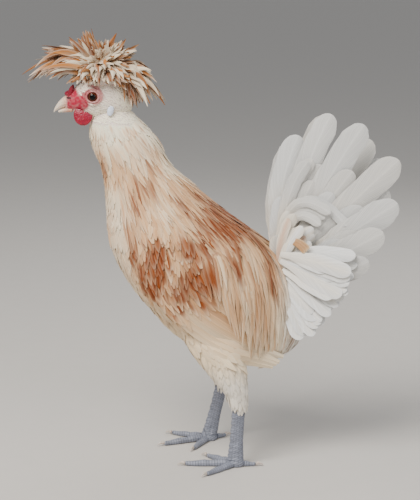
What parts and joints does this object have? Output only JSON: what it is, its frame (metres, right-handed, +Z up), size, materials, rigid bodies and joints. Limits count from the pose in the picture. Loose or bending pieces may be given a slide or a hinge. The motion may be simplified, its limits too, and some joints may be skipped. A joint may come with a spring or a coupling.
{
  "type": "polish chicken",
  "caption": "Life-size standing cockerel with a tousled feather crest, folded wings and a raised fan tail, a still museum model that rests on its own toes.",
  "frame": {"origin": "bottom centre of the bird's box, on the floor between its feet", "axes": "+Z up, the bird faces -X, its left side is towards -Y"},
  "size_m": [0.3648, 0.1446, 0.4281],
  "materials": {
    "plumage": "cream body feathers, matt",
    "white_feather": "white tail feathers, matt",
    "buff_feather": "buff and rust feathers, matt",
    "red_skin": "moist red skin, satin",
    "lobe_skin": "bluish white skin, satin",
    "horn": "pale horn, satin",
    "slate_scale": "slate grey leg scales, satin",
    "eye": "dark brown, wet gloss"
  },
  "bodies": {
    "root": {"head": "plumage", "beak_upper": "horn", "beak_lower": "horn", "comb": "red_skin", "crest": "buff_feather", "neck": "plumage", "torso": "plumage", "tail": "white_feather", "wattle_left": "red_skin", "earlobe_left": "lobe_skin", "eye_left": "eye", "wing_left": "buff_feather", "thigh_left": "plumage", "shank_left": "slate_scale", "toe_middle_left": "slate_scale", "claw_middle_left": "horn", "toe_outer_left": "slate_scale", "claw_outer_left": "horn", "toe_inner_left": "slate_scale", "claw_inner_left": "horn", "toe_hind_left": "slate_scale", "claw_hind_left": "horn", "wattle_right": "red_skin", "earlobe_right": "lobe_skin", "eye_right": "eye", "wing_right": "buff_feather", "thigh_right": "plumage", "shank_right": "slate_scale", "toe_middle_right": "slate_scale", "claw_middle_right": "horn", "toe_outer_right": "slate_scale", "claw_outer_right": "horn", "toe_inner_right": "slate_scale", "claw_inner_right": "horn", "toe_hind_right": "slate_scale", "claw_hind_right": "horn"}
  },
  "joints": []
}
